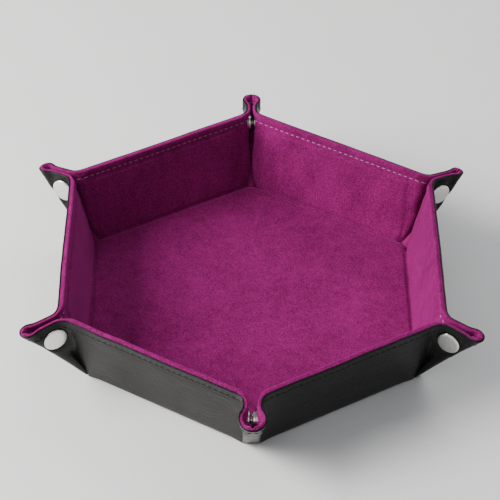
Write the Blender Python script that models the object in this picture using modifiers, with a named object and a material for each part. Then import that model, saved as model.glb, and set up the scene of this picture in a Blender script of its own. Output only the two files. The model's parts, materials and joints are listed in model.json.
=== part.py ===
"""Folding hexagonal dice tray, standing erect, in metres with +Z up.

One sheet of leather and one of velvet, sewn together round the edge, hold a stiff board in the base and
in each of the six walls. A wall folds up along each side of the base. The sheet left over at each corner
is pinched outwards into an ear, and a press snap joins the ear's two halves.

Every panel is modelled flat, around its own fold line, and hangs from an empty that folds it up. The fold
lines lie in one surface, the face between the leather and the velvet. Height above a panel is counted
from that surface: leather below it, board and velvet above it. The origin is the centre of the underside,
and a corner of the tray points along +Y.
"""

import math

import bmesh
import bpy
from mathutils import Matrix, Vector

# The sheet.
SIDES = 6
FOLD_FLATS = 0.200          # across the base, from one fold line to the one opposite
WALL = 0.0524               # from a fold line to the rim, along the wall
WALL_FOLD = math.radians(77)
CORNER_RADIUS = 0.010       # of the sheet's rounded corners
EAR_HALF_GAP = 0.0043       # from an ear's middle plane to the fold surface of either half

# The layers, as heights from the fold surface.
LEATHER = 0.0010
BOARD = 0.0012
VELVET_TOP = 0.0026
EAR_VELVET = 0.0020
GAP = 0.0003                # between neighbouring pieces
FOLD_GAP = GAP / 2          # from a panel's edge to its fold line, at the fold surface
POCKET_WALL = 0.0009        # of velvet round a board
BOARD_RIM_MARGIN = 0.0085   # from a wall's board to the rim, where the stitching runs
BOARD_TOP_HALF = 0.0495     # half the length of a wall's board at its upper edge

# The snaps, round an axis through each half of an ear.
SNAP_OUT = 0.0405           # from the base's corner, along the ear
SNAP_SIDE = 0.0122          # from the ear's middle line, on the flat sheet
SHANK_RADIUS = 0.0022
SNAP_HOLE_RADIUS = SHANK_RADIUS + GAP
CAP_RADIUS = 0.0075
CAP_DOME = 0.0018
POST_HEAD_RADIUS = 0.0070
POST_HEAD = 0.0009
SOCKET_RADIUS = 0.0056
SOCKET_MOUTH_RADIUS = 0.00275
SOCKET_FLOOR = 0.0007
SOCKET_HEIGHT = 0.0025
STUD_FLANGE_RADIUS = 0.0054
STUD_FLANGE = 0.0010
STUD_BALL_RADIUS = 0.0023
STUD_NECK_RADIUS = 0.0019
STUD_BALL = 0.0020
ROUND_STEPS = 20
TIP_STEPS = 4

# What follows from them.
HALF_TURN = math.pi / SIDES                                  # half the turn from one wall to the next
APOTHEM = FOLD_FLATS / 2
EAR_LEAN = math.atan(math.cos(WALL_FOLD) * math.tan(HALF_TURN))  # of an ear's fold from the wall's upright
EAR_SPREAD = HALF_TURN - EAR_LEAN                            # between an ear's two fold lines
EAR_FOLD = math.acos(math.sin(WALL_FOLD) * math.sin(HALF_TURN))
TIP_FOLD = math.radians(90)
TIP_RISE = math.atan(math.tan(WALL_FOLD) * math.cos(HALF_TURN)) - EAR_SPREAD
WALL_HALF = APOTHEM * math.tan(HALF_TURN) - EAR_HALF_GAP / math.cos(HALF_TURN)
EAR_START = EAR_HALF_GAP * math.tan(HALF_TURN)               # how far behind the corner an ear starts
EAR_LENGTH = WALL / math.cos(HALF_TURN)


def clear_scene():
    for obj in list(bpy.data.objects):
        bpy.data.objects.remove(obj)


def new_collection(name):
    collection = bpy.data.collections.new(name)
    bpy.context.scene.collection.children.link(collection)
    return collection


def new_material(name, colour, roughness, metallic=0.0):
    material = bpy.data.materials.new(name)
    material.use_nodes = True
    shader = material.node_tree.nodes["Principled BSDF"]
    shader.inputs["Base Color"].default_value = (*colour, 1.0)
    shader.inputs["Roughness"].default_value = roughness
    shader.inputs["Metallic"].default_value = metallic
    return material


def add_object(name, mesh, material, parent, collection):
    obj = bpy.data.objects.new(name, mesh)
    if not mesh.materials:
        mesh.materials.append(material)
    collection.objects.link(obj)
    obj.parent = parent
    return obj


def fold_empty(name, parent, placement, collection):
    """An empty on a fold line. What hangs from it is folded with it."""
    empty = bpy.data.objects.new(name, None)
    empty.empty_display_size = 0.01
    collection.objects.link(empty)
    empty.parent = parent
    empty.matrix_basis = placement
    return empty


def turn(angle, axis):
    return Matrix.Rotation(angle, 4, axis)


def inset(corners, margins):
    """The outline with each side, from one corner to the next, moved inwards by its margin."""
    moved = []
    count = len(corners)
    for i in range(count):
        start = Vector(corners[i])
        along = (Vector(corners[(i + 1) % count]) - start).normalized()
        moved.append((start + margins[i] * Vector((-along.y, along.x)), along))
    result = []
    for i in range(count):
        point_a, along_a = moved[i - 1]
        point_b, along_b = moved[i]
        reach = (point_b - point_a).cross(along_b) / along_a.cross(along_b)
        result.append(point_a + reach * along_a)
    return result


def fold_margin(fold, height):
    """How far a panel stops short of a fold line at a height, so that it stays clear of the next panel.

    The fold is the angle that the two panels turn through, above zero where they close on the velvet's side.
    """
    return FOLD_GAP + max(0.0, height * math.tan(fold / 2))


def mitred(corners, folds, height):
    """The outline at a height, given the fold at each of its sides, or None for an outer edge."""
    return inset(corners, [0.0 if fold is None else fold_margin(fold, height) for fold in folds])


def slab_mesh(name, levels):
    """A solid through outlines that have the same number of corners, given as (height, outline)."""
    shape = bmesh.new()
    rings = []
    for height, outline in levels:
        rings.append([shape.verts.new((point[0], point[1], height)) for point in outline])
    shape.faces.new(reversed(rings[0]))
    shape.faces.new(rings[-1])
    for lower, upper in zip(rings, rings[1:]):
        for i in range(len(lower)):
            j = (i + 1) % len(lower)
            shape.faces.new((lower[i], lower[j], upper[j], upper[i]))
    bmesh.ops.recalc_face_normals(shape, faces=shape.faces)
    mesh = bpy.data.meshes.new(name)
    shape.to_mesh(mesh)
    shape.free()
    return mesh


def panel_mesh(name, corners, folds, heights):
    return slab_mesh(name, [(height, mitred(corners, folds, height)) for height in heights])


def anticlockwise(corners, folds):
    """The same outline and folds, turned round if the corners run clockwise."""
    area = sum(a[0] * b[1] - b[0] * a[1] for a, b in zip(corners, corners[1:] + corners[:1]))
    if area > 0:
        return corners, folds
    return corners[::-1], folds[-2::-1] + folds[-1:]


def base_outline():
    """The hexagon with its corners cut off where the ears start."""
    corners = []
    folds = []
    for i in range(SIDES):
        facing = turn(2 * i * HALF_TURN, "Z")
        for x in (-WALL_HALF, WALL_HALF):
            point = facing @ Vector((APOTHEM, x, 0))
            corners.append((point.x, point.y))
        folds += [WALL_FOLD, TIP_RISE]
    return corners, folds


def wall_outline():
    rim_half = WALL_HALF + WALL * math.tan(EAR_LEAN)
    corners = [(-WALL_HALF, 0), (WALL_HALF, 0), (rim_half, WALL), (-rim_half, WALL)]
    return corners, [WALL_FOLD, -EAR_FOLD, None, -EAR_FOLD]


def ear_outline(side):
    """One half of an ear, with Y along its outer fold and the wall towards -side."""
    reach = WALL / math.cos(EAR_LEAN)
    rim_at_wall = (-side * reach * math.sin(EAR_SPREAD), reach * math.cos(EAR_SPREAD))
    corners = [(0, 0), (0, EAR_LENGTH), rim_at_wall]
    return anticlockwise(corners, [TIP_FOLD, None, -EAR_FOLD])


def tip_outline(side, height):
    """Half of the strip that closes an ear, from its fold at X = 0 to the ear's middle plane."""
    arc_centre = (WALL - CORNER_RADIUS) / math.cos(HALF_TURN) + EAR_START
    from_base = fold_margin(TIP_RISE, height)
    widest = EAR_HALF_GAP - fold_margin(TIP_FOLD, height)
    corners = [(side * (EAR_HALF_GAP - widest), from_base), (side * (EAR_HALF_GAP - FOLD_GAP), from_base)]
    for i in range(TIP_STEPS + 1):
        from_middle = FOLD_GAP + (widest - FOLD_GAP) * i / TIP_STEPS
        rise = math.sqrt(CORNER_RADIUS**2 - from_middle**2)
        corners.append((side * (EAR_HALF_GAP - from_middle), arc_centre + rise))
    return corners


def base_board_outline():
    corners, folds = base_outline()
    return inset(corners, [velvet_margin(fold) for fold in folds])


def velvet_margin(fold):
    """From a fold to the board, so that the velvet's wall between them has its full thickness."""
    return fold_margin(fold, VELVET_TOP) + POCKET_WALL + GAP


def wall_board_outline():
    low = velvet_margin(WALL_FOLD)
    high = WALL - BOARD_RIM_MARGIN
    low_half = WALL_HALF - POCKET_WALL - GAP
    return [(-low_half, low), (low_half, low), (BOARD_TOP_HALF, high), (-BOARD_TOP_HALF, high)]


def add_board_and_velvet(prefix, outline, board_outline, parent, materials, collections):
    """A board, and the velvet over it with a pocket underneath that the board lies in."""
    parts, cutters = collections
    corners, folds = outline
    board = slab_mesh(prefix + "_board", [(GAP, board_outline), (GAP + BOARD, board_outline)])
    add_object(prefix + "_board", board, materials["board"], parent, parts)

    velvet_mesh = panel_mesh(prefix + "_velvet", corners, folds, (GAP, VELVET_TOP))
    velvet = add_object(prefix + "_velvet", velvet_mesh, materials["velvet"], parent, parts)
    pocket_outline = inset(board_outline, [-GAP] * len(board_outline))
    pocket_mesh = slab_mesh(prefix + "_pocket", [(0, pocket_outline), (2 * GAP + BOARD, pocket_outline)])
    pocket = add_object(prefix + "_pocket", pocket_mesh, materials["board"], parent, cutters)
    cut_with(velvet, pocket)


def cut_with(obj, cutter):
    cutter.hide_render = True
    cutter.display_type = "WIRE"
    cut = obj.modifiers.new("cut_" + cutter.name, "BOOLEAN")
    cut.operation = "DIFFERENCE"
    cut.solver = "EXACT"
    cut.object = cutter


def add_base(materials, collections):
    parts = collections[0]
    placement = Matrix.Translation((0, 0, LEATHER))
    frame = fold_empty("base_frame", None, placement, parts)
    corners, folds = base_outline()
    leather = panel_mesh("base_leather", corners, folds, (-LEATHER, 0))
    add_object("base_leather", leather, materials["leather"], frame, parts)
    add_board_and_velvet("base", (corners, folds), base_board_outline(), frame, materials, collections)
    return frame


def add_wall(number, base, materials, collections):
    """A wall, with X along its fold and Y up it."""
    parts = collections[0]
    facing = 2 * (number - 1) * HALF_TURN
    placement = turn(facing, "Z") @ Matrix.Translation((APOTHEM, 0, 0)) @ turn(-math.pi / 2, "Z")
    prefix = f"wall_{number}"
    frame = fold_empty(prefix + "_fold", base, placement @ turn(WALL_FOLD, "X"), parts)
    corners, folds = wall_outline()
    leather = panel_mesh(prefix + "_leather", corners, folds, (-LEATHER, 0))
    add_object(prefix + "_leather", leather, materials["leather"], frame, parts)
    add_board_and_velvet(prefix, (corners, folds), wall_board_outline(), frame, materials, collections)
    return frame


def snap_profile_mesh(name, points):
    """A turned profile, as (radius, height), down its outer side from the axis to the axis."""
    shape = bmesh.new()
    line = [shape.verts.new((radius, 0, height)) for radius, height in points]
    for above, below in zip(line, line[1:]):
        shape.edges.new((above, below))
    mesh = bpy.data.meshes.new(name)
    shape.to_mesh(mesh)
    shape.free()
    return mesh


def socket_mesh():
    """The domed cap on the leather, riveted through the sheet to the socket on the velvet."""
    back = -LEATHER - GAP
    seat = EAR_VELVET + GAP
    mouth = seat + SOCKET_HEIGHT
    bevel = 0.0005
    return snap_profile_mesh("snap_socket", [
        (0, seat + SOCKET_FLOOR),
        (SOCKET_MOUTH_RADIUS, seat + SOCKET_FLOOR),
        (SOCKET_MOUTH_RADIUS, mouth - bevel),
        (SOCKET_MOUTH_RADIUS + bevel, mouth),
        (SOCKET_RADIUS - bevel, mouth),
        (SOCKET_RADIUS, mouth - bevel),
        (SOCKET_RADIUS, seat),
        (SHANK_RADIUS, seat),
        (SHANK_RADIUS, back),
        (CAP_RADIUS, back),
        (CAP_RADIUS, back - bevel),
        (CAP_RADIUS * 0.86, back - CAP_DOME * 0.72),
        (CAP_RADIUS * 0.5, back - CAP_DOME * 0.95),
        (0, back - CAP_DOME),
    ])


def stud_mesh():
    """The flat post head on the leather, riveted through the sheet to the stud on the velvet."""
    back = -LEATHER - GAP
    seat = EAR_VELVET + GAP
    ledge = seat + STUD_FLANGE
    top = ledge + STUD_BALL
    bevel = 0.0004
    return snap_profile_mesh("snap_stud", [
        (0, top),
        (STUD_BALL_RADIUS - 2 * bevel, top),
        (STUD_BALL_RADIUS, top - bevel),
        (STUD_BALL_RADIUS, top - 2 * bevel),
        (STUD_NECK_RADIUS, top - 3 * bevel),
        (STUD_NECK_RADIUS, ledge),
        (STUD_FLANGE_RADIUS - bevel, ledge),
        (STUD_FLANGE_RADIUS, ledge - bevel),
        (STUD_FLANGE_RADIUS, seat),
        (SHANK_RADIUS, seat),
        (SHANK_RADIUS, back),
        (POST_HEAD_RADIUS, back),
        (POST_HEAD_RADIUS, back - bevel),
        (POST_HEAD_RADIUS - bevel, back - POST_HEAD),
        (0, back - POST_HEAD),
    ])


def add_snap(name, mesh, ear, place, material, parts):
    """One half of a snap, with its axis square to its half of the ear."""
    snap = add_object(name, mesh, material, ear, parts)
    snap.location = place
    spin = snap.modifiers.new("turned", "SCREW")
    spin.angle = 2 * math.pi
    spin.steps = ROUND_STEPS
    spin.render_steps = ROUND_STEPS
    spin.use_merge_vertices = True
    spin.merge_threshold = 0.00001
    spin.use_smooth_shade = False
    return snap


def add_hole(ear_piece, ear, place, collections):
    bpy.ops.mesh.primitive_cylinder_add(vertices=ROUND_STEPS, radius=SNAP_HOLE_RADIUS, depth=0.01)
    cutter = bpy.context.object
    cutter.name = ear_piece.name + "_hole"
    for owner in list(cutter.users_collection):
        owner.objects.unlink(cutter)
    collections[1].objects.link(cutter)
    cutter.parent = ear
    cutter.location = place
    cut_with(ear_piece, cutter)


def add_half_ear(kind, corner, side, wall, snap_mesh, materials, collections):
    """Half of a corner's ear, with its snap and its half of the strip that closes the ear.

    side is the end of the wall that it hangs from, +1 or -1.
    """
    parts = collections[0]
    heights = (-LEATHER, 0, EAR_VELVET)
    placement = Matrix.Translation((side * WALL_HALF, 0, 0)) @ turn(-side * EAR_LEAN, "Z")
    placement = placement @ turn(side * EAR_FOLD, "Y") @ turn(-side * EAR_SPREAD, "Z")
    ear = fold_empty(f"{kind}_ear_{corner}_fold", wall, placement, parts)
    name = f"{kind}_ear_{corner}"
    piece = add_object(name, panel_mesh(name, *ear_outline(side), heights), materials["sheet"], ear, parts)
    place = (-side * (SNAP_SIDE - EAR_HALF_GAP), SNAP_OUT + EAR_START, 0)
    add_hole(piece, ear, place, collections)
    add_snap(f"snap_{kind}_{corner}", snap_mesh, ear, place, materials["nickel"], parts)

    tip = fold_empty(f"{kind}_tip_{corner}_fold", ear, turn(-side * TIP_FOLD, "Y"), parts)
    name = f"{kind}_tip_{corner}"
    tip_mesh = slab_mesh(name, [(height, tip_outline(side, height)) for height in heights])
    add_object(name, tip_mesh, materials["sheet"], tip, parts)


def build():
    clear_scene()
    collections = (new_collection("folding_dice_tray"), new_collection("cutters"))
    materials = {
        "leather": new_material("black_leather", (0.020, 0.021, 0.021), 0.42),
        "velvet": new_material("purple_velvet", (0.30, 0.035, 0.17), 0.9),
        "board": new_material("grey_board", (0.32, 0.30, 0.27), 0.8),
        "sheet": new_material("sewn_sheet", (0.16, 0.022, 0.09), 0.8),
        "nickel": new_material("nickel", (0.72, 0.70, 0.66), 0.28, 1.0),
    }
    base = add_base(materials, collections)
    walls = [add_wall(number, base, materials, collections) for number in range(1, SIDES + 1)]
    socket = socket_mesh()
    stud = stud_mesh()
    for corner in range(1, SIDES + 1):
        before = walls[corner - 1]
        after = walls[corner % SIDES]
        add_half_ear("stud", corner, -1, before, stud, materials, collections)
        add_half_ear("socket", corner, 1, after, socket, materials, collections)


build()
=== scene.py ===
"""Looks of the folding hexagonal dice tray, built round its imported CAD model, in metres.

The leather and the velvet are one sheet each on the real tray, and they are put back together here. Both
follow one folded surface, the face between them, which is worked out from the frame's fold lines: flat
panels joined by rounded folds. Heights are counted from that surface, above zero on the velvet's side.

The flat sheet is described once, for half of one wall and the half ear beside it, with X along the wall's
fold from its middle and Y up the wall. Mirroring that half gives the sector of one wall, and turning the
sector about the tray's axis gives the rest.
"""

import json
import math

import bpy
import numpy as np
from mathutils import Matrix, Vector, noise

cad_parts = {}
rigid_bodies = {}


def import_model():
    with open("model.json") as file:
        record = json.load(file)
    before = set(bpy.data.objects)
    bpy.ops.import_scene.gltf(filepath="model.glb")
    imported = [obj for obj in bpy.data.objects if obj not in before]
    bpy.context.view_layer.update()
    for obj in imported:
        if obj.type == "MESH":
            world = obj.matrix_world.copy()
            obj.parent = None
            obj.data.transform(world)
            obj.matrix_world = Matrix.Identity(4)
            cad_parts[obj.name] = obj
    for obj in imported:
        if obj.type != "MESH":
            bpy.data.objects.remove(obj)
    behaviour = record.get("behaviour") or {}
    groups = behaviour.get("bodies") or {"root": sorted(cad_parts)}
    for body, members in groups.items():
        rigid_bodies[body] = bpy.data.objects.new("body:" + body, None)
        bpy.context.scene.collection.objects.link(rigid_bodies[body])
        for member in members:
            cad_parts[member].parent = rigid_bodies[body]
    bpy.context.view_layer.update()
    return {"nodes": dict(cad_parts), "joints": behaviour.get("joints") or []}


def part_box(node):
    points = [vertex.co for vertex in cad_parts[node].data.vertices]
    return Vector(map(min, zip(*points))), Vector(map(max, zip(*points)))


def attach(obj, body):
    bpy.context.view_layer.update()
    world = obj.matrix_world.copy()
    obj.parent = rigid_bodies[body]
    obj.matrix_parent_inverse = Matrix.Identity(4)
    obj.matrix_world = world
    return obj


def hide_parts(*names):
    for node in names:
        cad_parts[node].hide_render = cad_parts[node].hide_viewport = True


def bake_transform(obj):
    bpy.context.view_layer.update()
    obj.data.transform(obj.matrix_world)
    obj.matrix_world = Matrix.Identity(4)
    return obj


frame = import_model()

# Sizes that the frame gives.
SIDES = 6
HALF_TURN = math.pi / SIDES
JOINTS = {joint["name"]: joint for joint in frame["joints"]}
FOLD_POINT = Vector(JOINTS["wall_1_fold"]["pos_m"])
WALL_FOLD = math.radians(JOINTS["wall_1_fold"]["range_deg"][1])
EAR_FOLD = math.acos(math.sin(WALL_FOLD) * math.sin(HALF_TURN))
TIP_FOLD = math.radians(90)
APOTHEM = FOLD_POINT.x
FOLD_HEIGHT = FOLD_POINT.z
WALL = (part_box("wall_1_leather")[1].z - FOLD_HEIGHT) / math.sin(WALL_FOLD)
EAR_POINT = Vector(JOINTS["socket_tip_2_fold"]["pos_m"])
EAR_ALONG = Vector(JOINTS["socket_tip_2_fold"]["axis"])
EAR_ALONG *= math.copysign(1, EAR_ALONG.z)
GAP_HALF = abs(EAR_POINT.x)                                # from an ear's middle plane to its fold surface
WALL_HALF = APOTHEM * math.tan(HALF_TURN) - GAP_HALF / math.cos(HALF_TURN)
EAR_LEAN = math.atan(math.cos(WALL_FOLD) * math.tan(HALF_TURN))
snap_low, snap_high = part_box("snap_socket_2")
SNAP_REACH = (snap_low + snap_high) / 2 - EAR_POINT
SNAP_REACH.x = 0
SNAP_ALONG = SNAP_REACH.dot(EAR_ALONG)
SNAP_IN = (SNAP_REACH - SNAP_ALONG * EAR_ALONG).length     # from the ear's outer fold to the snap's axis

# The layers.
LEATHER = FOLD_HEIGHT
VELVET = 0.0019
VELVET_ON_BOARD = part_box("base_velvet")[1].z - FOLD_HEIGHT
VELVET_IN_FOLD = 0.0022
VELVET_AT_RIM = 0.0030                                     # the padded lip between the rim and the seam
BOARD_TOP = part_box("base_board")[1].z - FOLD_HEIGHT
SEAM_IN = 0.0052                                           # from the rim to the seam
CORNER_RADIUS = 0.010
THINNEST = 0.00012

# How far each fold's bend reaches to either side, and how wide it opens from the point where folds meet.
WALL_REACH = 0.0030
WALL_SPREAD = math.tan(math.radians(22))
EAR_REACH = 0.0026                                         # beside the snaps, where the sheet is held flat
EAR_RIM_REACH = 0.0072
EAR_SPREAD = math.tan(math.radians(12))
TIP_REACH = 0.0034
TIP_SPREAD = math.tan(math.radians(10))
LEAST_REACH = 1e-7                                         # of a bend, where folds meet in a point
BLEND_SHARE = 0.75                                         # of a bend's reach, where the two ends of its blend stand

# The ends of a tip's blend stand where its sheet is this far from the ear's fold surface, measured on a
# slant, so that the velvet inside the bend still meets the ear on one side and the other tip on the other.
TIP_BLEND = (0.00085, 0.0023)
TIP_BLEND_SLANT = math.radians(60)
TIP_BLEND_DRIFT = 0.018                                    # nearer the ear towards the base

# How each pinched corner closes at the rim: half the width of its neck and of its loop, between the folded
# surfaces of the two ears. The front corner gapes, and the ones beside the back are nearly shut.
NECK_HALF = {1: 0.0023, 2: 0.0026, 3: 0.0023, 4: 0.0031, 5: 0.0045, 6: 0.0030}
LOOP_HALF = {1: 0.0033, 2: 0.0050, 3: 0.0036, 4: 0.0042, 5: 0.0070, 6: 0.0041}
LOOP_RUN = 0.005                                           # from the loop's round part back to its neck
SNAP_DIMPLE = 0.0007                                       # that a snap pulls the sheet in
MOUTH_PINCH = 0.0021                                       # that two walls' ends close up below a snap

# The sheet's own unevenness and marks.
WAVE = 0.00055                                             # of both layers, at the rim
PUCKER = 0.00032                                           # of the leather across an ear's neck
SEAM_DENT = 0.00038                                        # that the thread pulls into the velvet
SNAP_PRESS = 0.0009                                        # that a snap presses into the velvet
VELVET_EDGE = 0.0010                                       # radius of the velvet's edge at the rim
LEATHER_EDGE = 0.00045
LAYER_GAP = 0.0001                                         # between a board and the velvet on it

# Round each snap: the radius that it holds, and the width over which that fades.
SNAP_CLEAR = (0.0071, 0.0030)                              # of the open loop
SNAP_PRESSED = (0.0058, 0.0026)
SNAP_DIMPLED = (0.0066, 0.0030)


def smooth(value):
    """A soft step from 0 to 1."""
    value = np.clip(value, 0.0, 1.0)
    return value * value * (3 - 2 * value)


def least(first, second, softness=0.0004):
    """The smaller of two heights, rounded where they cross."""
    share = np.clip(0.5 + 0.5 * (second - first) / softness, 0, 1)
    return second * (1 - share) + first * share - softness * share * (1 - share)


def ridge(value, centre, width):
    """A soft ridge that is 1 at its centre."""
    return np.exp(-((value - centre) / width) ** 2)


def round_edge(distance, radius):
    """The section of a rounded edge: 0 at the edge itself, and 1 from one radius inside it."""
    return np.sqrt(np.clip(1 - np.clip(1 - distance / radius, 0, 1) ** 2, 0, 1))


HALVES = [(number, side) for number in range(1, SIDES + 1) for side in (1, -1)]


def corner_of(number, side):
    """The corner at one end of a wall."""
    return number if side < 0 else (number - 2) % SIDES + 1


def labels_of(number, side):
    """A wall's label, and those of the ear and the tip at one of its ends."""
    kind = "stud" if side < 0 else "socket"
    corner_number = corner_of(number, side)
    return f"wall_{number}", f"{kind}_ear_{corner_number}", f"{kind}_tip_{corner_number}"


# ------------ the folded surface

class Fold:
    """A straight fold on the flat sheet, from point along a heading, with the child panel to its right.

    angle is how far the child turns up towards the velvet, and parent carries the flat sheet to where the
    parent panel stands. reach gives half the bend's width, and roundness is 1 for a bend that cuts inside
    the fold line and 0 for one that swings round it, both by distance along the fold.
    """

    def __init__(self, point, lean, angle, reach, roundness, parent):
        self.point = Vector((*point, 0))
        self.along = Vector((math.sin(lean), math.cos(lean), 0))
        self.across = Vector((math.cos(lean), -math.sin(lean), 0))
        self.angle = angle
        self.reach = reach
        self.roundness = roundness
        self.parent = parent
        shift = Matrix.Translation(self.point)
        self.child = parent @ shift @ Matrix.Rotation(-angle, 4, self.along) @ shift.inverted()

    def measures(self, x, y):
        """Distances along the fold and across it, of points on the flat sheet."""
        x = x - self.point.x
        y = y - self.point.y
        return x * self.along.x + y * self.along.y, x * self.across.x + y * self.across.y

    def flat(self, along, across):
        return (
            self.point.x + along * self.along.x + across * self.across.x,
            self.point.y + along * self.along.y + across * self.across.y,
        )

    def on_row(self, y, across):
        """The flat point at height y whose distance across is given by a function of that along."""
        along = y / self.along.y
        for _ in range(20):
            along = (y - across(along) * self.across.y) / self.along.y
        return self.flat(along, across(along))

    def bent(self, x, y):
        """Where the flat points stand."""
        along, across = self.measures(x, y)
        reach = self.reach(along)
        weight = t = np.clip((across + reach) / (2 * reach), 0, 1)
        for _ in range(12):
            chord = across * np.cos((weight - 0.5) * self.angle) / math.cos(self.angle / 2)
            weight = smooth(0.5 + chord / (2 * reach))
        swung = np.stack([across * np.cos(weight * self.angle), across * np.sin(weight * self.angle)])
        cut = np.stack([t**2 * math.cos(self.angle) - (1 - t) ** 2, t**2 * math.sin(self.angle)]) * reach
        share = np.where(np.abs(across) < reach, self.roundness(along), 0.0)
        level, rise = swung + share * (cut - swung)
        x, y = self.flat(along, level)
        return np.stack([x, y, rise, np.ones_like(x)], axis=-1) @ np.array(self.parent).T[:, :3]

    def blend_ends(self, along, height):
        """Two points at that height above the sheet, before the bend and after it."""
        reach = float(self.reach(np.array(along))) * BLEND_SHARE
        ends = []
        for panel, side in ((self.parent, -1), (self.child, 1)):
            x, y = self.flat(along, side * reach)
            ends.append(panel @ Vector((x, y, height)))
        return ends


def tip_blend_ends(along):
    """The same for a tip, seen from its ear."""
    ends = []
    for distance in TIP_BLEND:
        drift = TIP_BLEND_DRIFT * (distance - TIP_BLEND[0])
        x, y = tip_fold.flat(along - drift, distance * math.cos(TIP_BLEND_SLANT))
        ends.append(tip_fold.parent @ Vector((x, y, distance * math.sin(TIP_BLEND_SLANT))))
    return ends


def widening(spread, widest):
    return lambda along: np.clip(along * spread, LEAST_REACH, widest)


def ear_reach(along):
    widest = EAR_REACH + (EAR_RIM_REACH - EAR_REACH) * smooth((along - 0.042) / 0.009)
    return np.clip(along * EAR_SPREAD, LEAST_REACH, widest)


def tip_reach(along):
    widest = TIP_REACH + (GAP_HALF - TIP_REACH) * smooth((along - 0.046) / 0.008)
    return np.clip(along * TIP_SPREAD, LEAST_REACH, widest)


corner = (WALL_HALF, 0)
wall_fold = Fold(corner, -math.pi / 2, WALL_FOLD, widening(WALL_SPREAD, WALL_REACH),
                 lambda along: 0.75, Matrix.Identity(4))
ear_fold = Fold(corner, EAR_LEAN, -EAR_FOLD, ear_reach, lambda along: 0.8, wall_fold.child)
tip_fold = Fold(corner, HALF_TURN, TIP_FOLD, tip_reach,
                lambda along: 0.6 - 0.45 * smooth((along - 0.044) / 0.012), ear_fold.child)
SNAP_FLAT = tip_fold.flat(SNAP_ALONG, -SNAP_IN)


# ------------ the grid over half a sector

MM = 0.001
CREASE_ROWS = np.linspace(-1, 1, 9)
RIM_ROWS = MM * np.array([
    49.4, 48.5, 47.6, 46.6, 45.4, 44.0, 42.4, 40.6, 38.6, 36.5, 34.4, 32.4, 30.4, 28.4, 26.5, 24.7, 23.0,
    21.4, 19.8, 18.3, 16.9, 15.6, 14.3, 13.1, 12.0, 11.0, 10.1, 9.4, 8.8, 8.2, 7.6, 7.0, 6.5, 6.1, 5.8,
    5.5, 5.2, 4.9, 4.6, 4.3, 3.9, 3.3, 2.6, 1.9, 1.3, 0.8, 0.5, 0.28, 0.1, 0])
WALL_COLUMNS = np.array([
    0, .07, .14, .21, .28, .35, .42, .49, .56, .63, .69, .74, .785, .825, .86, .89, .915, .935, .952,
    .966, .978, .988, .995, 1])
EAR_BEND = np.linspace(-1, 1, 15)[1:]
EAR_COLUMNS = np.linspace(0, 1, 13)[1:]
TIP_BEND = np.linspace(-1, 0, 7)[1:]
TIP_COLUMNS = np.linspace(0, 1, 9)[1:]
BASE_RINGS = [1, .99, .98, .968, .955, .94, .92, .89, .85, .8, .74, .67, .59, .5, .4, .3, .2, .1]

FIRST_UP = len(CREASE_ROWS) - 1
EAR_START = len(WALL_COLUMNS) - 1
TIP_START = EAR_START + len(EAR_BEND) + len(EAR_COLUMNS)
TIP_MIDDLE = TIP_START + len(TIP_BEND)
COLUMNS = TIP_MIDDLE + len(TIP_COLUMNS) + 1
ROWS = FIRST_UP + len(RIM_ROWS)


def tip_along(rim_distance, height, across):
    """How far along the outer fold a row of the grid crosses a line beside it, near the tip's middle line."""
    radius = CORNER_RADIUS - rim_distance
    off_middle = GAP_HALF - across
    if radius > 0 and off_middle <= radius / 2:
        centre = ((WALL - CORNER_RADIUS) + GAP_HALF * math.sin(HALF_TURN)) / math.cos(HALF_TURN)
        return centre + math.sqrt(radius**2 - off_middle**2)
    level = 1 if across < 0 else float(smooth(height / 0.012))
    return height / math.cos(HALF_TURN) + level * across * math.tan(HALF_TURN)


def half_grid():
    """The flat sheet's points over half a sector, by row and column."""
    x = np.zeros((ROWS, COLUMNS))
    y = np.zeros((ROWS, COLUMNS))
    start = lambda height: ear_fold.on_row(height, lambda along: -float(ear_reach(along)))[0]
    for i, share in enumerate(WALL_COLUMNS):
        reach = float(wall_fold.reach(WALL_HALF * (1 - share)))
        for j in range(ROWS):
            if j < FIRST_UP:
                y[j, i] = CREASE_ROWS[j] * reach
            else:
                height = WALL - RIM_ROWS[j - FIRST_UP]
                settle = 1 - float(smooth((height - WALL_REACH) / 0.014))
                y[j, i] = height - (WALL_REACH - reach) * settle
            x[j, i] = share * (start(y[j, i]) if y[j, i] > 1e-6 else WALL_HALF)
    for j in range(FIRST_UP):
        x[j, EAR_START:] = WALL_HALF
    for j in range(FIRST_UP, ROWS):
        height = y[j, EAR_START]
        i = EAR_START
        for share in EAR_BEND:
            i += 1
            x[j, i], y[j, i] = ear_fold.on_row(height, lambda along: share * float(ear_reach(along)))
        before = np.array([x[j, i], y[j, i]])
        after = np.array(tip_fold.on_row(height, lambda along: -float(tip_reach(along))))
        for share in EAR_COLUMNS:
            i += 1
            x[j, i], y[j, i] = before + share * (after - before)
        rim_distance = RIM_ROWS[j - FIRST_UP]
        for share in TIP_BEND:
            i += 1
            along = height / math.cos(HALF_TURN)
            for _ in range(20):
                across = share * float(tip_reach(along))
                along = tip_along(rim_distance, height, across)
            x[j, i], y[j, i] = tip_fold.flat(along, across)
        for share in TIP_COLUMNS:
            i += 1
            across = share * GAP_HALF
            x[j, i], y[j, i] = tip_fold.flat(tip_along(rim_distance, height, across), across)
    return x, y


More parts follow.
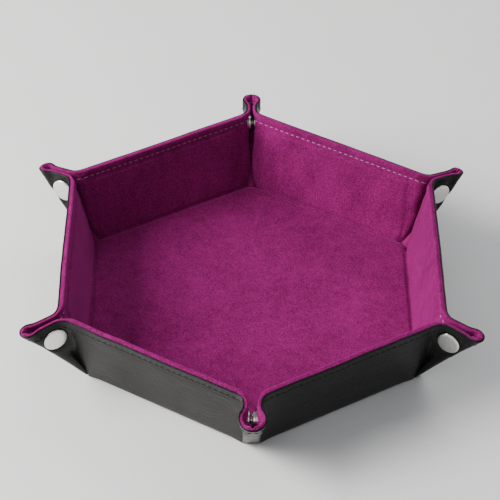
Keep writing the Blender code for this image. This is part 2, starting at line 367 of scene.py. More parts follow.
class Loop:
    """The open loop that the rim of a pinched corner makes, seen along the ear's outer fold.

    It is worked out from the tip back: a round part, then a bend the other way into the neck. out gives how
    far out from the outer fold a point stands, and half its distance from the corner's middle plane.
    """

    STEPS = 400

    def __init__(self, neck, loop):
        lean = 0.0
        while loop * (1 - math.cos(lean)) + LOOP_RUN / 2 * math.sin(lean) < loop - neck:
            lean += 0.002
        round_length = loop * (math.pi / 2 + lean)
        self.length = round_length + LOOP_RUN
        self.lengths = np.linspace(0, self.length, self.STEPS)
        back = np.clip((self.lengths - round_length) / LOOP_RUN, 0, 1)
        heading = np.minimum(self.lengths / loop, math.pi / 2 + lean) - lean * smooth(back)
        step = self.lengths[1]
        out = -np.concatenate([[0], np.cumsum(np.sin(heading)[:-1] * step)])
        self.halves = np.concatenate([[0], np.cumsum(np.cos(heading)[:-1] * step)])
        self.halves *= 1 + (neck / self.halves[-1] - 1) * smooth(self.lengths / self.length)
        self.outs = out - out[-1] - (self.length - GAP_HALF)

    def at(self, across):
        """Out and half of points by their distance across the ear's outer fold, on the flat sheet."""
        length = GAP_HALF - across
        out = np.interp(length, self.lengths, self.outs) - np.maximum(length - self.length, 0)
        return out, np.interp(length, self.lengths, self.halves)


def near_snap(x, y, inner, width):
    """1 under a snap, falling to 0 outside it."""
    return 1 - smooth((np.hypot(x - SNAP_FLAT[0], y - SNAP_FLAT[1]) - inner) / width)


def mouth_pinch(x, y):
    """How far a point near an ear's fold slides along the wall's line, so that the corner's mouth closes."""
    ear_along, ear_across = ear_fold.measures(x, y)
    along = np.maximum(ear_along, 0)
    room = np.maximum(along * math.tan(HALF_TURN - EAR_LEAN) - tip_reach(along), 1e-6)
    amount = np.minimum(MOUTH_PINCH, 0.5 * room) * (1 - smooth((ear_along - 0.022) / 0.010))
    share = np.where(ear_across < 0, smooth(1 + ear_across / 0.009), 1 - smooth(ear_across / room))
    return amount * share / math.cos(HALF_TURN)


def raised(x, y, rim_distance, corner_number):
    """Where the grid's points stand in the sector's frame, with the corner's rim pinched and looped."""
    place = np.empty((*x.shape, 3))
    starts = (0, EAR_START + 1, TIP_START, COLUMNS)
    for fold, first, last in zip((wall_fold, ear_fold, tip_fold), starts, starts[1:]):
        place[:, first:last] = fold.bent(x[:, first:last], y[:, first:last])
    place[..., 0] += mouth_pinch(x, y)

    gusset = slice(EAR_START + 1, COLUMNS)
    x, y, rim_distance = x[:, gusset], y[:, gusset], rim_distance[:, gusset]
    along, across = tip_fold.measures(x, y)
    ear_along, ear_across = ear_fold.measures(x, y)
    reach = ear_reach(ear_along)
    out, half = Loop(NECK_HALF[corner_number], LOOP_HALF[corner_number]).at(across)
    ear = np.array(ear_fold.child)
    flat_out = np.stack(tip_fold.flat(along, out), axis=-1)
    looped = flat_out @ ear[:3, :2].T + (GAP_HALF - half)[..., None] * ear[:3, 2] + ear[:3, 3]
    level = np.stack([x, y], axis=-1) @ ear[:3, :2].T + ear[:3, 3]
    rise = smooth((0.0135 - rim_distance) / 0.0125) * (1 - near_snap(x, y, *SNAP_CLEAR))
    start = smooth((ear_across + reach) / (reach + 0.005))
    shift = looped - level
    plain = place[:, gusset] + shift * start[..., None]
    on_tip = across > -tip_reach(along)
    target = np.where(on_tip[..., None], looped, plain)
    place[:, gusset] += (target - place[:, gusset]) * rise[..., None]
    return place


# ------------ heights of the layers over the flat sheet

def board_outline():
    """The lower and upper edge of a wall's board, and half its length at each, on the flat sheet."""
    stand = (half_matrix(1, 1) @ wall_fold.child).inverted()
    points = [stand @ vertex.co for vertex in frame["nodes"]["wall_1_board"].data.vertices]
    low = min(point.y for point in points)
    high = max(point.y for point in points)
    low_half = max(point.x for point in points if point.y < low + 0.002)
    high_half = max(point.x for point in points if point.y > high - 0.002)
    return low, high, low_half, high_half


def half_matrix(number, side):
    """Carries the flat half sector to where one half of a wall's sector is."""
    turn = Matrix.Rotation(2 * HALF_TURN * (number - 1), 4, "Z")
    turn_in = Matrix.Rotation(-math.pi / 2, 4, "Z")
    sector = Matrix.Translation((0, 0, FOLD_HEIGHT)) @ turn @ Matrix.Translation((APOTHEM, 0, 0)) @ turn_in
    return sector @ Matrix.Diagonal((side, 1, 1, 1))


def board_depth(x, y):
    """How far inside a wall's board the flat points are, below zero outside it."""
    low, high, low_half, high_half = board_outline()
    slant = math.atan2(low_half - high_half, high - low)
    side = (low_half - np.abs(x)) * math.cos(slant) - (y - low) * math.sin(slant)
    return np.minimum(np.minimum(y - low, high - y), side)


def base_board_depth(x, y):
    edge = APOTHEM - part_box("base_board")[1].x
    short_edge = APOTHEM / math.cos(HALF_TURN) - GAP_HALF * math.tan(HALF_TURN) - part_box("base_board")[1].y
    along = tip_fold.measures(x, y)[0]
    return np.minimum(-y - edge, -along - short_edge)


def layer_heights(x, y, rim_distance, board):
    """Heights of the velvet's top and underside and of the leather's inner and outer face."""
    ear_along, ear_across = ear_fold.measures(x, y)
    tip_along_fold, tip_across = tip_fold.measures(x, y)
    wall_along = np.maximum(WALL_HALF - np.abs(x), 0)
    wall_room = np.abs(y) + wall_fold.reach(wall_along)
    wall_room[x > WALL_HALF] = 1
    in_gusset = tip_along_fold > -1e-6
    share = 0.20 + 0.42 * smooth((tip_along_fold - 0.015) / 0.008)
    tip_room = np.where(in_gusset, 0.5 * np.abs(tip_across) + share * tip_reach(tip_along_fold), 1)
    ear_room = np.where(in_gusset, np.abs(ear_across) + 0.9 * ear_reach(ear_along), 1)
    short_room = 0.0012 + 0.8 * np.abs(tip_along_fold)
    short_room = np.where(tip_across > -0.0008, short_room, 1)
    over_board = smooth((board + 0.0010) / 0.0018)
    seam = ridge(rim_distance, SEAM_IN, 0.0006)
    pressed = near_snap(x, y, *SNAP_PRESSED)

    gusset = smooth((ear_across + 0.004) / 0.004) * smooth(tip_along_fold / 0.012)
    lobe = ridge(tip_across, 0.0016, 0.0014) - 1.1 * ridge(tip_across, GAP_HALF, 0.0008)
    top = VELVET + (VELVET_ON_BOARD - VELVET) * over_board
    lip = smooth((SEAM_IN - 0.0004 - rim_distance) / 0.0018) * (1 - gusset)
    top = top + (VELVET_AT_RIM - VELVET) * lip
    beside_snap = smooth((rim_distance - 0.010) / 0.004) * (1 - smooth((rim_distance - 0.022) / 0.006))
    top = top + gusset * 0.0007 * ridge(ear_across, 0.0020, 0.0030) * beside_snap
    top = top + 0.0006 * lobe * smooth((0.012 - rim_distance) / 0.010) * gusset
    top = top - SEAM_DENT * seam - SNAP_PRESS * pressed
    wall_limit = VELVET_IN_FOLD / WALL_REACH * wall_room
    for limit in (wall_limit, tip_room, short_room):
        top = least(top, limit)
    edge = round_edge(rim_distance, VELVET_EDGE)
    top = top - (1 - edge) * (0.0006 + 0.0005 * lip)
    top = np.maximum(top, THINNEST)
    under = 0.00005 + (BOARD_TOP + LAYER_GAP - 0.00005) * smooth((board + 0.0009) / 0.0008)
    under = np.minimum(under, 0.5 * top)
    under = np.where(board > -0.0002, BOARD_TOP + LAYER_GAP, under)
    under = under + 0.00025 * (1 - edge)

    outer = -LEATHER * (0.92 + 0.08 * over_board) + 0.00016 * seam
    ring = ridge(np.hypot(x - SNAP_FLAT[0], y - SNAP_FLAT[1]), 0.0098, 0.0016)
    outer = outer + 0.00012 * pressed - 0.00015 * ring
    outer = -least(-outer, 0.85 * ear_room, 0.0002)
    leather_edge = round_edge(rim_distance, LEATHER_EDGE)
    outer = outer + (1 - leather_edge) * 0.0004
    outer = np.minimum(outer, -THINNEST)
    inner = np.maximum(-0.00002 - 0.00012 * (1 - leather_edge), 0.5 * outer)
    return top, under, inner, outer


# ------------ the whole surface

WELD = 0.000002                                            # points nearer than this are one
NEIGHBOURS = [(i, j, k) for i in (0, -1, 1) for j in (0, -1, 1) for k in (0, -1, 1)]


class Sheet:
    """The folded surface of the whole tray, welded from its half sectors, and its faces by piece."""

    def __init__(self):
        self.points = []
        self.heights = []
        self.ids = {}
        self.faces = {}
        self.grids = {}
        self.flat_x, self.flat_y = half_grid()
        self.rim = np.full_like(self.flat_x, WALL)
        self.rim[FIRST_UP:] = RIM_ROWS[:, None]
        self.height_grid = self.grid_heights()
        for number, side in HALVES:
            place = raised(self.flat_x, self.flat_y, self.rim, corner_of(number, side))
            self.add_half(number, side, place)
        self.points = np.array(self.points)
        self.heights = np.array(self.heights)
        self.corners = {label: self.triangles(faces) for label, faces in self.faces.items()}
        self.all_corners = np.concatenate(list(self.corners.values()))
        self.normals = self.normals_of(self.points)
        self.ripple()

    def grid_heights(self):
        x, y = self.flat_x, self.flat_y
        board = board_depth(x, y)
        board[:, EAR_START + 1:] = -1
        board[:FIRST_UP] = np.minimum(board[:FIRST_UP], base_board_depth(x, y)[:FIRST_UP])
        return np.stack(layer_heights(x, y, self.rim, board), axis=-1)

    def vertex(self, place, heights):
        """The vertex at a place, which is an earlier one if that is near enough to be the same."""
        cell = tuple(int(math.floor(value / WELD)) for value in place)
        for step in NEIGHBOURS:
            found = self.ids.get((cell[0] + step[0], cell[1] + step[1], cell[2] + step[2]))
            if found is not None:
                return found
        self.ids[cell] = len(self.points)
        self.points.append(tuple(place))
        self.heights.append(tuple(heights))
        return self.ids[cell]

    def add_half(self, number, side, place):
        matrix = np.array(half_matrix(number, side))
        world = place @ matrix[:3, :3].T + matrix[:3, 3]
        grid = np.array([[self.vertex(world[j, i], self.height_grid[j, i]) for i in range(COLUMNS)]
                         for j in range(ROWS)])
        self.grids[number, side] = grid
        labels = labels_of(number, side)
        for j in range(ROWS - 1):
            for i in range(COLUMNS - 1):
                if i >= EAR_START and j < FIRST_UP:
                    continue
                label = labels[0 if i < EAR_START else 1 if i < TIP_START else 2]
                self.add_face(label, (grid[j, i], grid[j, i + 1], grid[j + 1, i + 1], grid[j + 1, i]), side)
        self.add_base(number, side, grid)

    def add_base(self, number, side, grid):
        """The base's rings, from its edge in towards its middle."""
        flat_edge = [(self.flat_x[0, i], self.flat_y[0, i]) for i in range(EAR_START + 1)]
        flat_edge += [tip_fold.flat(0, share * GAP_HALF) for share in TIP_COLUMNS]
        flat_edge = np.array(flat_edge)
        matrix = np.array(half_matrix(number, side))
        rings = []
        for scale in BASE_RINGS:
            x = flat_edge[:, 0] * scale
            y = -APOTHEM + (flat_edge[:, 1] + APOTHEM) * scale
            heights = np.stack(layer_heights(x, y, np.full_like(x, WALL), base_board_depth(x, y)), axis=-1)
            world = np.stack([x, y, np.zeros_like(x)], axis=-1) @ matrix[:3, :3].T + matrix[:3, 3]
            rings.append([self.vertex(p, h) for p, h in zip(world, heights)])
        rings[0] = list(grid[0, :EAR_START + 1]) + list(grid[FIRST_UP, TIP_MIDDLE + 1:])
        middle = self.vertex((0, 0, FOLD_HEIGHT), heights[0])
        for outer, inner in zip(rings, rings[1:] + [[middle] * len(flat_edge)]):
            for k in range(len(flat_edge) - 1):
                self.add_face("base", (inner[k], inner[k + 1], outer[k + 1], outer[k]), side)

    def add_face(self, label, corners, side):
        kept = [a for a, b in zip(corners, corners[1:] + corners[:1]) if a != b]
        if len(set(kept)) < 3 or len(set(kept)) < len(kept):
            return
        self.faces.setdefault(label, []).append(tuple(kept if side > 0 else kept[::-1]))

    @staticmethod
    def triangles(faces):
        cut = [(face[0], face[k], face[k + 1]) for face in faces for k in range(1, len(face) - 1)]
        return np.array(cut)

    def normals_of(self, points):
        a, b, c = (points[self.all_corners[:, k]] for k in range(3))
        facing = np.cross(b - a, c - a)
        total = np.zeros_like(points)
        for k in range(3):
            np.add.at(total, self.all_corners[:, k], facing)
        return total / np.maximum(np.linalg.norm(total, axis=1, keepdims=True), 1e-20)

    def ripple(self):
        """The sheet's own unevenness: slight waves, more towards the rim, and creases in the leather."""
        shift = np.zeros(len(self.points))
        crease = np.zeros(len(self.points))
        dimple = SNAP_DIMPLE * near_snap(self.flat_x, self.flat_y, *SNAP_DIMPLED)
        for number, side in HALVES:
            grid = self.grids[number, side]
            for j in range(FIRST_UP + 1, ROWS):
                height = self.flat_y[j, 0] / WALL
                for i in range(COLUMNS):
                    vertex = grid[j, i]
                    place = Vector(self.points[vertex])
                    wave = noise.noise(place * 26) + 0.4 * noise.noise(place * 70 + Vector((5, 3, 1)))
                    shift[vertex] = wave * WAVE * height**2 + dimple[j, i]
                    if i >= EAR_START:
                        crease[vertex] = self.neck_crease(i, j, place, number, side)
        self.points = self.points + self.normals * shift[:, None]
        self.heights[:, 3] += crease
        self.normals = self.normals_of(self.points)

    def neck_crease(self, i, j, place, number, side):
        """How much the leather puckers here: fine folds across the neck of an ear, fading beyond it."""
        across = i - EAR_START
        span = len(EAR_BEND)
        strength = math.sin(math.pi * min(across / span, 1)) if across < span else 0
        rim_distance = RIM_ROWS[j - FIRST_UP]
        strength *= float(smooth(rim_distance / 0.004)) * float(smooth((0.040 - rim_distance) / 0.02))
        if strength <= 0:
            return 0
        lines = noise.noise(Vector((place.z * 420 + across * 0.25, number * 7.3 + side * 2.1, across * 0.10)))
        lines += 0.5 * noise.noise(Vector((place.z * 900 - across * 0.3, number * 3.1 + side, 4.2)))
        return PUCKER * strength * lines

    def layer(self, index):
        points = self.points + self.normals * self.heights[:, index, None]
        return points, self.normals_of(points)


sheet = Sheet()
VELVET_TOP, VELVET_UNDER, LEATHER_INNER, LEATHER_OUTER = (sheet.layer(index) for index in range(4))


# ------------ pieces of the two sheets

def placed_object(name, data):
    obj = bpy.data.objects.new(name, data)
    bpy.context.scene.collection.objects.link(obj)
    return obj


def new_object(name, points, faces, material, loop_normals=None):
    mesh = bpy.data.meshes.new(name)
    mesh.from_pydata([tuple(point) for point in points], [], faces)
    mesh.polygons.foreach_set("use_smooth", [True] * len(mesh.polygons))
    mesh.materials.append(material)
    if loop_normals is not None:
        mesh.normals_split_custom_set(loop_normals)
    mesh.update()
    return placed_object(name, mesh)


def sheet_piece(name, label, upper, lower, material):
    """A closed piece of one layer, between two faces that follow the sheet. Neighbours share their edges."""
    faces = sheet.faces[label]
    used = sorted({vertex for face in faces for vertex in face})
    local = {vertex: index for index, vertex in enumerate(used)}
    count = len(used)
    points = np.concatenate([upper[0][used], lower[0][used]])
    shown = []
    normals = []
    edges = set()
    for face in faces:
        shown.append([local[vertex] for vertex in face])
        normals += [upper[1][vertex] for vertex in face]
        edges.update(zip(face, face[1:] + face[:1]))
    for face in faces:
        shown.append([local[vertex] + count for vertex in reversed(face)])
        normals += [-lower[1][vertex] for vertex in reversed(face)]
    for a, b in sorted(edges):
        if (b, a) not in edges:
            side = [local[b], local[a], local[a] + count, local[b] + count]
            facing = np.cross(points[side[2]] - points[side[0]], points[side[3]] - points[side[1]])
            shown.append(side)
            normals += [facing / max(np.linalg.norm(facing), 1e-20)] * 4
    return new_object(name, points, shown, material, [tuple(normal) for normal in normals])


def world_ends(fold, along, height, number, side):
    matrix = half_matrix(number, side)
    ends = tip_blend_ends(along) if fold is tip_fold else fold.blend_ends(along, height)
    return [matrix @ point for point in ends]


def places():
    """Every panel of the sheet: its label, the bodies it joins, and the fold between them with the place
    along it, the wall and the side, or None for the base.
    """
    yield "base", ("base",), None
    for number in range(1, SIDES + 1):
        yield f"wall_{number}", ("base", f"wall_{number}"), (wall_fold, WALL_HALF, number, 1)
        for side in (1, -1):
            wall, ear, tip = labels_of(number, side)
            yield ear, (wall, ear), (ear_fold, WALL * 0.8, number, side)
            yield tip, (ear, tip), (tip_fold, WALL * 0.9, number, side)


def settle(piece, bodies, bend, height):
    """Lets a piece ride on its body. A piece between two bodies gets where its bend would start and end
    worked out, but stays unbent and only has its place baked into its mesh.
    """
    if len(bodies) == 1:
        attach(piece, bodies[0])
    else:
        fold, along, number, side = bend
        start, end = world_ends(fold, along, height, number, side)
        tuple(start)
        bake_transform(piece)


# ------------ materials

def colour(red, green, blue):
    return (red, green, blue, 1)


class Finish:
    """A material's nodes, added one call at a time."""

    def __init__(self, name, **surface):
        self.material = bpy.data.materials.new(name)
        self.material.use_nodes = True
        self.nodes = self.material.node_tree.nodes
        self.links = self.material.node_tree.links
        self.shader = self.nodes["Principled BSDF"]
        for socket, value in surface.items():
            self.shader.inputs[socket.replace("_", " ")].default_value = value
        self.place = self.add("ShaderNodeTexCoord").outputs["Object"]

    def add(self, kind, inputs=(), **settings):
        node = self.nodes.new(kind)
        for name, value in settings.items():
            setattr(node, name, value)
        for key, value in dict(inputs).items():
            self.set(node.inputs[key], value)
        return node

    def set(self, socket, value):
        if isinstance(value, bpy.types.NodeSocket):
            self.links.new(value, socket)
        else:
            socket.default_value = value

    def noise(self, scale, detail=2.0, roughness=0.5, stretch=(1, 1, 1), distortion=0.0):
        place = self.place
        if stretch != (1, 1, 1):
            place = self.add("ShaderNodeMapping", {"Vector": place, "Scale": stretch}).outputs["Vector"]
        return self.add("ShaderNodeTexNoise", {
            "Vector": place, "Scale": scale, "Detail": detail,
            "Roughness": roughness, "Distortion": distortion,
        }).outputs["Fac"]

    def cells(self, scale, feature="F1", randomness=1.0):
        return self.add("ShaderNodeTexVoronoi", {
            "Vector": self.place, "Scale": scale, "Randomness": randomness,
        }, feature=feature).outputs["Distance"]

    def span(self, value, low, high, to_low=0.0, to_high=1.0):
        return self.add("ShaderNodeMapRange", {
            "Value": value, "From Min": low, "From Max": high, "To Min": to_low, "To Max": to_high,
        }).outputs["Result"]

    def sum(self, *shares):
        """Several values added up, each with its weight."""
        total = None
        for value, weight in shares:
            part = self.add("ShaderNodeMath", {0: value, 1: weight}, operation="MULTIPLY").outputs["Value"]
            if total is None:
                total = part
            else:
                total = self.add("ShaderNodeMath", {0: total, 1: part}, operation="ADD").outputs["Value"]
        return total

    def blend(self, share, first, second):
        mix = self.add("ShaderNodeMix", data_type="RGBA")
        self.set(mix.inputs["Factor"], share)
        self.set(mix.inputs[6], first)
        self.set(mix.inputs[7], second)
        return mix.outputs[2]

    def bump(self, height, distance, strength=1.0, under=None):
        inputs = {"Height": height, "Distance": distance, "Strength": strength}
        if under is not None:
            inputs["Normal"] = under
        return self.add("ShaderNodeBump", inputs).outputs["Normal"]

    def finish(self, **links):
        for socket, value in links.items():
            self.set(self.shader.inputs[socket.replace("_", " ")], value)
        return self.material


def velvet_finish():
    """Short brushed pile: patches where the pile leans another way, and the speckle of single tufts."""
    finish = Finish(
        "velvet", Roughness=0.9, Sheen_Weight=0.42, Sheen_Roughness=0.35, Sheen_Tint=colour(1.0, 0.14, 0.74),
        Specular_IOR_Level=0.05)
    brushed = finish.noise(26, 3, 0.55, distortion=0.6)
    strokes = finish.noise(130, 3, 0.6, stretch=(1, 1.3, 0.45))
    tufts = finish.noise(1500, 2, 0.75)
    specks = finish.noise(3000, 1)
    shade = finish.sum((brushed, 0.12), (strokes, 0.12), (tufts, 0.50), (specks, 0.26))
    deep, bright = colour(0.088, 0.0028, 0.040), colour(0.312, 0.015, 0.172)
    base = finish.blend(finish.span(shade, 0.40, 0.60), deep, bright)
    pile = finish.bump(finish.sum((tufts, 0.6), (specks, 0.4)), 0.0006, 0.55)
    rough = finish.bump(strokes, 0.0005, 0.20, pile)
    return finish.finish(Base_Color=base, Normal=rough)


def leather_finish():
    """Smooth black coated leather: fine pebbles, faint creases and polish that varies."""
    finish = Finish("leather", Specular_IOR_Level=0.13, Coat_Weight=0.08, Coat_Roughness=0.16)
    patches = finish.noise(45, 3, 0.55)
    grain = finish.cells(850)
    fine = finish.cells(2100)
    creases = finish.noise(230, 3, 0.6, stretch=(1, 1, 2.0), distortion=1.2)
    base = finish.blend(patches, colour(0.0032, 0.0031, 0.0031), colour(0.0085, 0.0083, 0.0082))
    roughness = finish.span(finish.sum((patches, 0.6), (creases, 0.4)), 0.3, 0.7, 0.26, 0.44)
    pebbles = finish.bump(finish.sum((grain, 0.7), (fine, 0.3)), 0.00040, 0.55)
    worn = finish.bump(creases, 0.0012, 0.22, pebbles)
    return finish.finish(Base_Color=base, Roughness=roughness, Normal=worn)


def thread_finish(name, dark, light):
    """Twisted sewing thread."""
    finish = Finish(name, Roughness=0.6, Sheen_Weight=0.08, Sheen_Roughness=0.4, Specular_IOR_Level=0.25)
    fibres = finish.noise(5200, 2, 0.6, stretch=(1, 1, 0.3))
    base = finish.blend(finish.span(fibres, 0.35, 0.65), dark, light)
    return finish.finish(Base_Color=base, Normal=finish.bump(fibres, 0.0001, 0.6))


def nickel_finish():
    """Nickel plate with fine scratches and a little tarnish."""
    finish = Finish("nickel", Metallic=1.0)
    scratches = finish.noise(420, 3, 0.7, stretch=(1, 8, 3))
    patches = finish.noise(260, 2, 0.5)
    base = finish.blend(patches, colour(0.70, 0.68, 0.65), colour(0.80, 0.785, 0.755))
    roughness = finish.span(finish.sum((scratches, 0.7), (patches, 0.3)), 0.3, 0.7, 0.24, 0.33)
    return finish.finish(Base_Color=base, Roughness=roughness, Normal=finish.bump(scratches, 0.00006, 0.25))


def board_finish():
    """Grey pressed board, hidden between the leather and the velvet."""
    finish = Finish("board", Roughness=0.9)
    fibres = finish.noise(900, 4, 0.65, stretch=(1, 3, 1))
    flecks = finish.noise(300, 2, 0.5)
    dark, pale = colour(0.20, 0.185, 0.165), colour(0.42, 0.40, 0.36)
    base = finish.blend(finish.sum((fibres, 0.6), (flecks, 0.4)), dark, pale)
    return finish.finish(Base_Color=base, Normal=finish.bump(fibres, 0.0002, 0.5))


VELVET_LOOK = velvet_finish()
LEATHER_LOOK = leather_finish()
NICKEL_LOOK = nickel_finish()
BOARD_LOOK = board_finish()
THREAD_INSIDE = thread_finish("thread_inside", colour(0.34, 0.085, 0.235), colour(0.60, 0.26, 0.47))
THREAD_OUTSIDE = thread_finish("thread_outside", colour(0.003, 0.003, 0.003), colour(0.016, 0.016, 0.017))


# ------------ the seam round the rim

STITCH_PITCH = 0.0038
STITCH_HALF = 0.00125
STITCH_WIDTH = 0.00027
STITCH_HEIGHT = 0.00024
STITCH_RINGS = 9
STITCH_SIDES = 8
SEAM_ROW = FIRST_UP + int(np.argmin(np.abs(RIM_ROWS - SEAM_IN)))


def seam_path(number, side, layer):
    """The seam over half a sector, as lengths from the wall's middle, places, facings and grid columns."""
    x = sheet.flat_x[SEAM_ROW]
    y = sheet.flat_y[SEAM_ROW]
    lengths = np.concatenate([[0], np.cumsum(np.hypot(np.diff(x), np.diff(y)))])
    line = sheet.grids[number, side][SEAM_ROW]
    return lengths, layer[0][line], layer[1][line]


def ring_faces(first, rings, sides):
    """The faces of a closed form of rings between two end points, whose points follow on from first."""
    ring = lambda k, step: first + 1 + k * sides + step % sides
    last = first + 1 + rings * sides
    for step in range(sides):
        yield [first, ring(0, step), ring(0, step + 1)]
        yield [last, ring(rings - 1, step + 1), ring(rings - 1, step)]
        for k in range(rings - 1):
            yield [ring(k, step + 1), ring(k, step), ring(k + 1, step), ring(k + 1, step + 1)]


def stitch(lengths, places_along, facings, centre, points, faces):
    """Adds one stitch, a short thread that dips into the sheet at both ends."""
    first = len(points)
    reach = np.cos(np.linspace(math.pi, 0, STITCH_RINGS + 2))
    spine = []
    for share in reach:
        at = centre + share * STITCH_HALF
        spine.append([np.interp(at, lengths, places_along[:, k]) for k in range(3)])
    spine = np.array(spine)
    facing = np.array([np.interp(centre, lengths, facings[:, k]) for k in range(3)])
    facing /= np.linalg.norm(facing)
    heading = spine[-1] - spine[0]
    heading /= np.linalg.norm(heading)
    sideways = np.cross(facing, heading)
    for k, share in enumerate(reach):
        lift = STITCH_HEIGHT * (0.75 - 1.5 * share**4)
        middle = spine[k] + facing * lift
        if k in (0, len(reach) - 1):
            points.append(middle)
            continue
        thick = max(1 - share**6, 0) ** 0.5
        for step in range(STITCH_SIDES):
            turn = 2 * math.pi * step / STITCH_SIDES
            points.append(middle + sideways * (STITCH_WIDTH * thick * math.cos(turn))
                          + facing * (STITCH_HEIGHT * thick * math.sin(turn)))
    faces += [face[::-1] for face in ring_faces(first, STITCH_RINGS, STITCH_SIDES)]


def seam_stitches(layer, outward, clear_radius):
    """Each panel's stitches on one face of the sheet, as points and faces by the panel's label."""
    found = {}
    flat = (sheet.flat_x[SEAM_ROW], sheet.flat_y[SEAM_ROW])
    for number, side in HALVES:
        lengths, places_along, facings = seam_path(number, side, layer)
        labels = labels_of(number, side)
        count = int(lengths[-1] / STITCH_PITCH)
        for k in range(count):
            centre = (k + 0.5) * lengths[-1] / count
            x, y = (np.interp(centre, lengths, axis) for axis in flat)
            if math.hypot(x - SNAP_FLAT[0], y - SNAP_FLAT[1]) < clear_radius:
                continue
            label = labels[int(centre >= lengths[EAR_START]) + int(centre >= lengths[TIP_START])]
            points, faces = found.setdefault(label, ([], []))
            stitch(lengths, places_along, facings * outward, centre, points, faces)
    return found


# ------------ building the sheets

def build_sheets():
    inside = seam_stitches(VELVET_TOP, 1, 0.0060)
    outside = seam_stitches(LEATHER_OUTER, -1, 0.0074)
    for label, bodies, bend in places():
        cad = label if "_ear_" in label or "_tip_" in label else None
        velvet = sheet_piece("velvet_" + label, label, VELVET_TOP, VELVET_UNDER, VELVET_LOOK)
        leather = sheet_piece("leather_" + label, label, LEATHER_INNER, LEATHER_OUTER, LEATHER_LOOK)
        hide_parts(cad or label + "_velvet")
        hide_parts(cad or label + "_leather")
        pieces = [(velvet, "velvet", VELVET), (leather, "leather", -LEATHER)]
        for face, stitches, look, slot, height in (
                ("inside", inside, THREAD_INSIDE, "velvet", VELVET),
                ("outside", outside, THREAD_OUTSIDE, "leather", -LEATHER)):
            if label in stitches:
                seam = new_object(f"seam_{face}_{label}", *stitches[label], look)
                pieces.append((seam, slot, height))
        for piece, slot, height in pieces:
            settle(piece, bodies, bend, height)


build_sheets()


# ------------ snaps

TURN_STEPS = 72


def rounded(corners, steps=5):
    """A profile whose corners, given as (radius, height, rounding), are rounded off."""
    line = []
    for k, (radius, height, rounding) in enumerate(corners):
        here = Vector((radius, height))
        if rounding == 0:
            line.append(here)
            continue
        before = Vector(corners[k - 1][:2]) - here
        after = Vector(corners[k + 1][:2]) - here
        start = here + before.normalized() * min(rounding, before.length * 0.49)
        end = here + after.normalized() * min(rounding, after.length * 0.49)
        for step in range(steps + 1):
            t = step / steps
            line.append(start * (1 - t) ** 2 + here * (2 * t * (1 - t)) + end * t**2)
    return line


def turned(name, corners, matrix, material):
    """A closed round part turned about matrix's Z axis, from a profile that starts and ends on that axis."""
    profile = rounded([tuple(measure * MM for measure in corner) for corner in corners[::-1]])
    points = [Vector((0, 0, profile[0].y))]
    for radius, height in profile[1:-1]:
        for step in range(TURN_STEPS):
            turn = 2 * math.pi * step / TURN_STEPS
            points.append(Vector((radius * math.cos(turn), radius * math.sin(turn), height)))
    points.append(Vector((0, 0, profile[-1].y)))
    faces = list(ring_faces(0, len(profile) - 2, TURN_STEPS))
    if matrix.determinant() < 0:
        faces = [face[::-1] for face in faces]
    placed = np.array([matrix @ point for point in points])
    facing = np.zeros_like(placed)
    for face in faces:
        for k in range(1, len(face) - 1):
            a, b, c = placed[face[0]], placed[face[k]], placed[face[k + 1]]
            normal = np.cross(b - a, c - a)
            for vertex in (face[0], face[k], face[k + 1]):
                facing[vertex] += normal
    facing /= np.maximum(np.linalg.norm(facing, axis=1, keepdims=True), 1e-20)
    normals = [tuple(facing[vertex]) for face in faces for vertex in face]
    return new_object(name, placed, faces, material, normals)


# Profiles in millimetres, as (radius, height above the folded surface, rounding), from the side of the
# leather round to the side of the velvet. Heights below zero are outside the tray.
CAP = [(0, -2.00, 0), (2.5, -1.93, 1.0), (4.8, -1.68, 1.0), (6.4, -1.28, 0.5), (7.05, -1.05, 0.25),
       (7.3, -0.72, 0.15), (7.22, -0.38, 0.12), (6.8, -0.15, 0.1), (0, -0.15, 0)]
SOCKET = [(0, 1.20, 0), (5.2, 1.20, 0.2), (5.6, 1.55, 0.2), (5.6, 2.35, 0.25), (5.15, 2.6, 0.15),
          (5.0, 4.15, 0.5), (4.2, 4.75, 0.4), (3.1, 4.8, 0.25), (2.75, 4.55, 0.15), (2.9, 4.1, 0.2),
          (3.5, 3.9, 0.2), (3.5, 3.0, 0.15), (0, 3.0, 0)]
POST = [(0, -1.42, 0), (2.0, -1.40, 0.6), (5.6, -1.26, 0.6), (6.5, -1.08, 0.25), (6.9, -0.78, 0.2),
        (6.85, -0.40, 0.15), (6.4, -0.15, 0.1), (0, -0.15, 0)]
STUD = [(0, 1.20, 0), (5.0, 1.20, 0.2), (5.4, 1.5, 0.2), (5.4, 2.5, 0.3), (4.6, 2.75, 0.2), (3.4, 3.2, 0.3),
        (1.95, 3.3, 0.15), (1.88, 3.9, 0.3), (2.3, 4.55, 0.35), (2.15, 5.05, 0.3), (1.5, 5.3, 0.2),
        (0.8, 5.28, 0.15), (0.6, 4.8, 0.15), (0, 4.75, 0)]


def build_snaps():
    seat = ear_fold.child @ Matrix.Translation((*SNAP_FLAT, 0))
    for number, side in HALVES:
        corner_number = corner_of(number, side)
        kind = "stud" if side < 0 else "socket"
        parts = {"cap": CAP, "socket": SOCKET} if side > 0 else {"post": POST, "stud": STUD}
        for part, profile in parts.items():
            piece = turned(f"{part}_{corner_number}", profile, half_matrix(number, side) @ seat, NICKEL_LOOK)
            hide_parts(f"snap_{kind}_{corner_number}")
            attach(piece, f"{kind}_ear_{corner_number}")


build_snaps()
for name, node in frame["nodes"].items():
    if name.endswith("_board"):
        node.data.materials.clear()
        node.data.materials.append(BOARD_LOOK)


# ------------ floor, light and camera

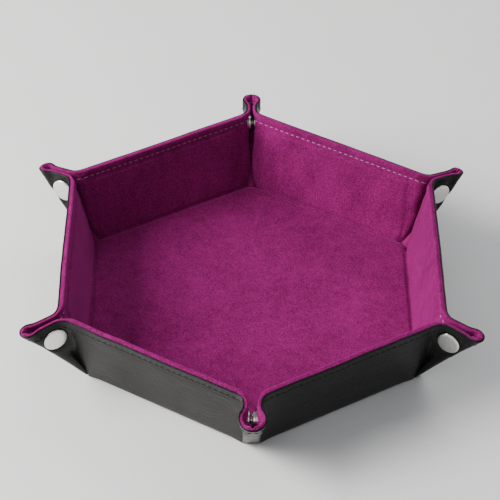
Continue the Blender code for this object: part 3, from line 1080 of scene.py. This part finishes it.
def studio_floor():
    finish = Finish("studio_floor", Roughness=0.55, Specular_IOR_Level=0.3)
    base = finish.blend(finish.noise(14, 2), colour(0.88, 0.88, 0.88), colour(0.92, 0.92, 0.92))
    material = finish.finish(Base_Color=base)
    mesh = bpy.data.meshes.new("studio_floor")
    reach = 2.5
    corners = [(-reach, -reach, 0), (reach, -reach, 0), (reach, reach, 0), (-reach, reach, 0)]
    mesh.from_pydata(corners, [], [(0, 1, 2, 3)])
    mesh.materials.append(material)
    floor = placed_object("studio_floor", mesh)
    floor.location.z = -0.0002


def soft_light(name, azimuth, elevation, distance, size, power, tint=(1, 1, 1)):
    """A square soft light that looks at the tray from that direction, in degrees."""
    light = bpy.data.lights.new(name, "AREA")
    light.shape = "SQUARE"
    light.size = size
    light.energy = power
    light.color = tint
    lamp = placed_object(name, light)
    azimuth, elevation = math.radians(azimuth), math.radians(elevation)
    heading = Vector((math.cos(azimuth) * math.cos(elevation), math.sin(azimuth) * math.cos(elevation),
                      math.sin(elevation)))
    lamp.location = heading * distance + Vector((0, 0, 0.02))
    lamp.rotation_euler = heading.to_track_quat("Z", "Y").to_euler()


def sky(strength):
    world = bpy.data.worlds.new("studio")
    world.use_nodes = True
    background = world.node_tree.nodes["Background"]
    background.inputs["Color"].default_value = (0.93, 0.95, 1.0, 1)
    background.inputs["Strength"].default_value = strength
    bpy.context.scene.world = world


def camera():
    """A long lens that looks down over the front corner, with the whole tray in view."""
    lens = bpy.data.cameras.new("camera")
    lens.lens = 143.03
    lens.sensor_width = 36
    azimuth, elevation, roll = math.radians(-0.90), math.radians(41.62), math.radians(1.18)
    distance = 1.2536
    target = Vector((-0.00045, 0.0490, 0.0036))
    back = Vector((math.sin(azimuth) * math.cos(elevation), -math.cos(azimuth) * math.cos(elevation),
                   math.sin(elevation)))
    right = Vector((math.cos(azimuth), math.sin(azimuth), 0))
    up = back.cross(right)
    right, up = (right * math.cos(roll) + up * math.sin(roll), up * math.cos(roll) - right * math.sin(roll))
    eye = placed_object("camera", lens)
    place = target + back * distance
    eye.matrix_world = Matrix((
        (right.x, up.x, back.x, place.x), (right.y, up.y, back.y, place.y), (right.z, up.z, back.z, place.z),
        (0, 0, 0, 1)))
    bpy.context.scene.camera = eye


studio_floor()
soft_light("key_light", 185, 32, 1.3, 0.80, 39, (1.0, 0.98, 0.95))
soft_light("front_fill", 262, 52, 1.5, 0.9, 3)
soft_light("back_light", 55, 42, 1.5, 0.8, 7)
sky(0.30)
camera()
